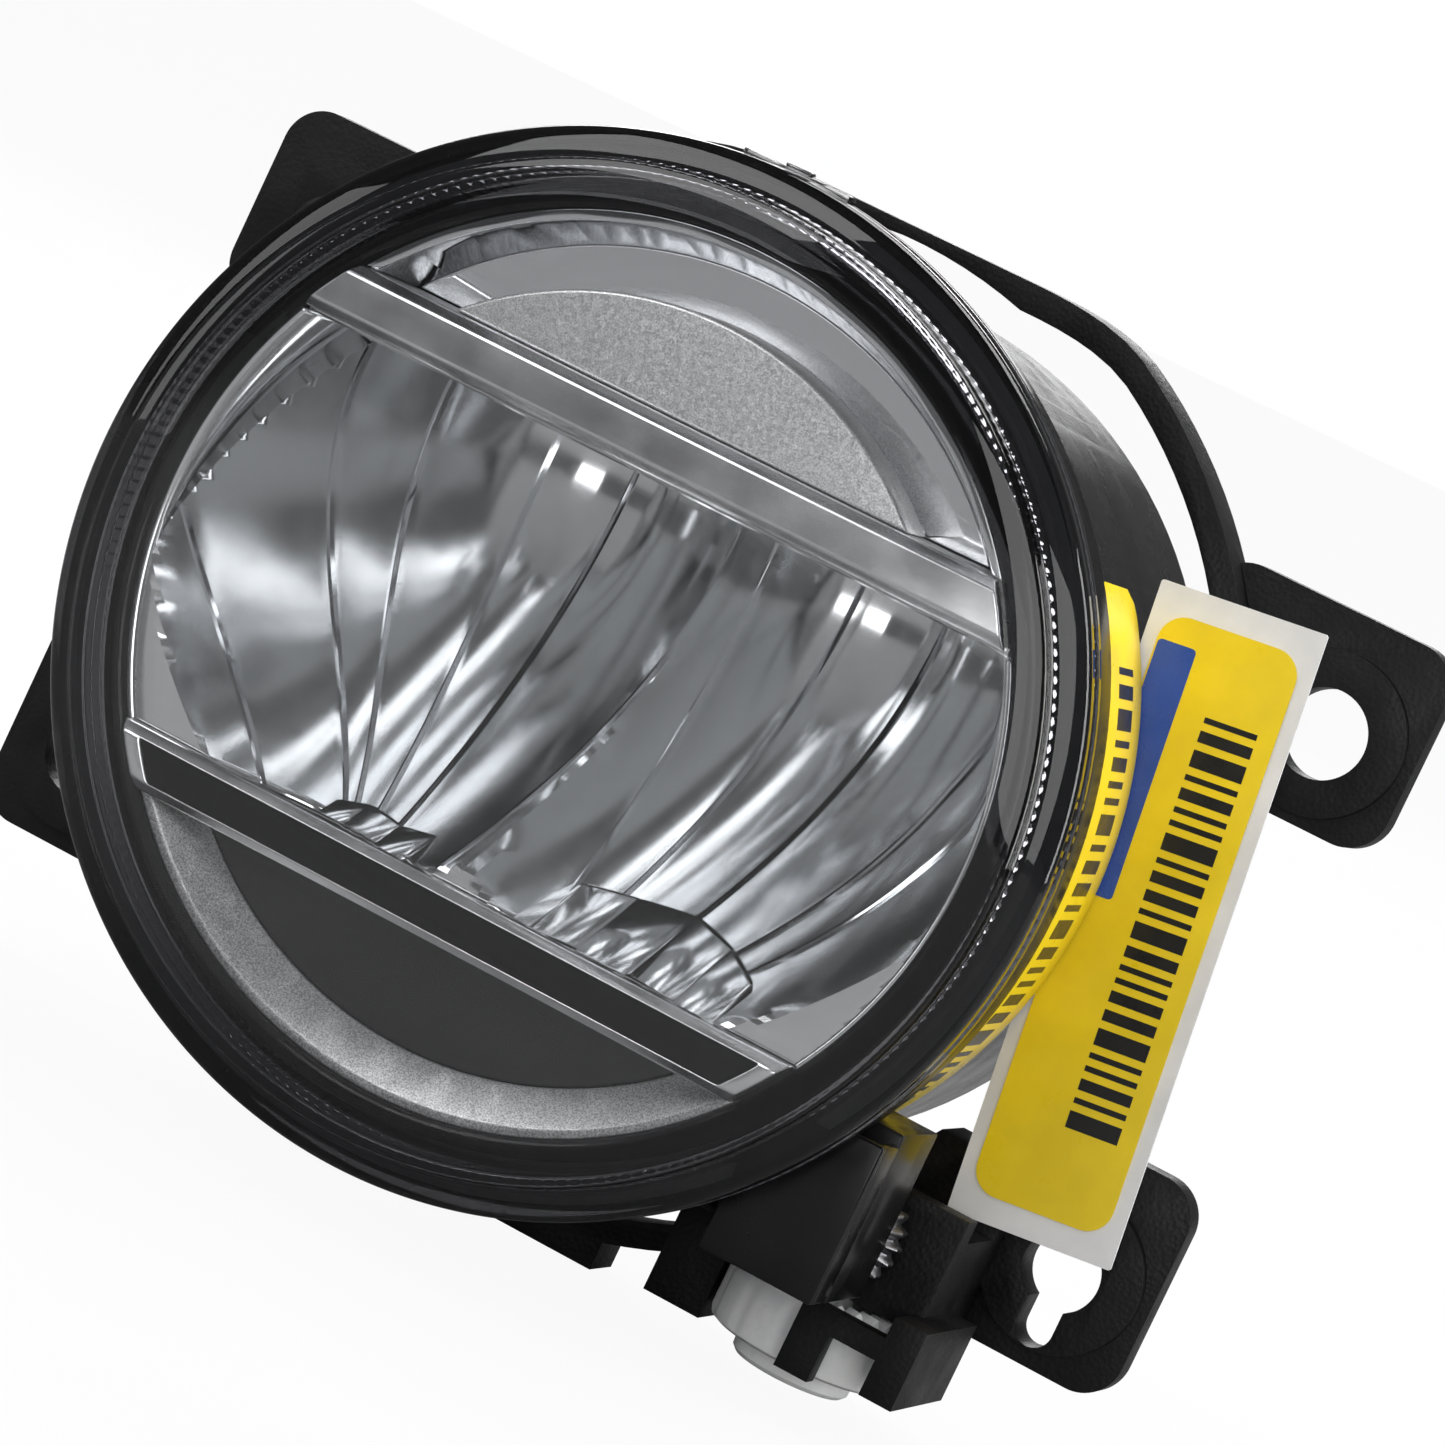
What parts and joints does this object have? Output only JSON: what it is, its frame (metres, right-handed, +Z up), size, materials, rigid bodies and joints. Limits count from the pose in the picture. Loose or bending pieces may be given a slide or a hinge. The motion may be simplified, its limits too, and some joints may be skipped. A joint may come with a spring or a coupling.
{
  "type": "vehicle fog lamp",
  "caption": "Round LED fog lamp with clear lens, mirrored bars and fan reflector, tilting in a plastic bracket with corner ears and an aiming adjuster.",
  "frame": {"origin": "on the lens axis, in the plane of the bracket ears' rear faces", "axes": "-Y is where the lamp shines, +X is to the right seen from in front, +Z is up"},
  "size_m": [0.1186, 0.0892, 0.0946],
  "materials": {
    "bracket_plastic": "fine-grained moulded texture",
    "steel": "zinc plated",
    "white_nylon": "milky translucent nylon",
    "housing_plastic": "smooth, slightly glossy",
    "clear_lens": "clear polycarbonate with a hard coat",
    "sealing_bead": "matt",
    "gloss_black": "high gloss",
    "mirror_coat": "vacuum metallised",
    "satin_silver": "satin silver",
    "dark_satin": "satin dark grey",
    "board_white": "white solder mask",
    "led_phosphor": "silicone over phosphor",
    "thermal_pad": "matt silicone",
    "cast_aluminium": "die cast, unpainted",
    "terminal_metal": "tin plated",
    "lead_sheath": "soft sheath",
    "vent_rubber": "matt",
    "label_yellow": "printed film",
    "backing_white": "coated release paper"
  },
  "bodies": {
    "bracket_body": {"bracket": "bracket_plastic", "upper_left_ear": "bracket_plastic", "upper_right_ear": "bracket_plastic", "lower_left_ear": "bracket_plastic", "lower_right_ear": "bracket_plastic", "adjuster_cage": "bracket_plastic", "pivot_pins": "steel"},
    "lamp": {"housing": "housing_plastic", "aim_arm": "housing_plastic", "connector_shell": "housing_plastic", "outer_lens": "clear_lens", "lens_seal": "sealing_bead", "inner_bezel": "gloss_black", "reflector": "mirror_coat", "upper_bar": "mirror_coat", "lower_bar": "mirror_coat", "lower_bar_insert": "gloss_black", "upper_rim": "mirror_coat", "upper_plate": "satin_silver", "lower_crescent": "satin_silver", "lower_plate": "dark_satin", "led_board": "board_white", "led_chips": "led_phosphor", "thermal_pad": "thermal_pad", "heat_sink": "cast_aluminium", "sink_seal": "sealing_bead", "sink_screws": "steel", "board_screws": "steel", "terminals": "terminal_metal", "leads": "lead_sheath", "vent_cap": "vent_rubber", "label": "label_yellow", "label_backing": "backing_white"},
    "wheel": {"adjuster_wheel": "white_nylon"},
    "screw": {"aim_screw": "steel"},
    "nut": {"aim_nut": "white_nylon"}
  },
  "joints": [
    {"name": "lamp_tilt", "type": "hinge", "parent": "bracket_body", "child": "lamp", "pos_m": [0, -0.006, 0], "axis": [1, 0, 0], "range_deg": [-2.5, 2.5]},
    {"name": "wheel_turn", "type": "hinge", "parent": "bracket_body", "child": "wheel", "pos_m": [0.0355, -0.014, -0.043], "axis": [0, 0, 1], "range_deg": [-226, 226]},
    {"name": "screw_turn", "type": "hinge", "parent": "bracket_body", "child": "screw", "pos_m": [0.0355, -0.02, -0.033], "axis": [0, 1, 0], "range_deg": [-262, 262]},
    {"name": "nut_travel", "type": "slide", "parent": "bracket_body", "child": "nut", "axis": [0, 1, 0], "range_m": [-0.0015, 0.0015]}
  ],
  "couplings": [
    {"joint": "nut_travel", "follows": "lamp_tilt", "m_per_rad": 0.033},
    {"joint": "screw_turn", "follows": "lamp_tilt", "ratio": -103.67},
    {"joint": "wheel_turn", "follows": "lamp_tilt", "ratio": 88.86}
  ]
}
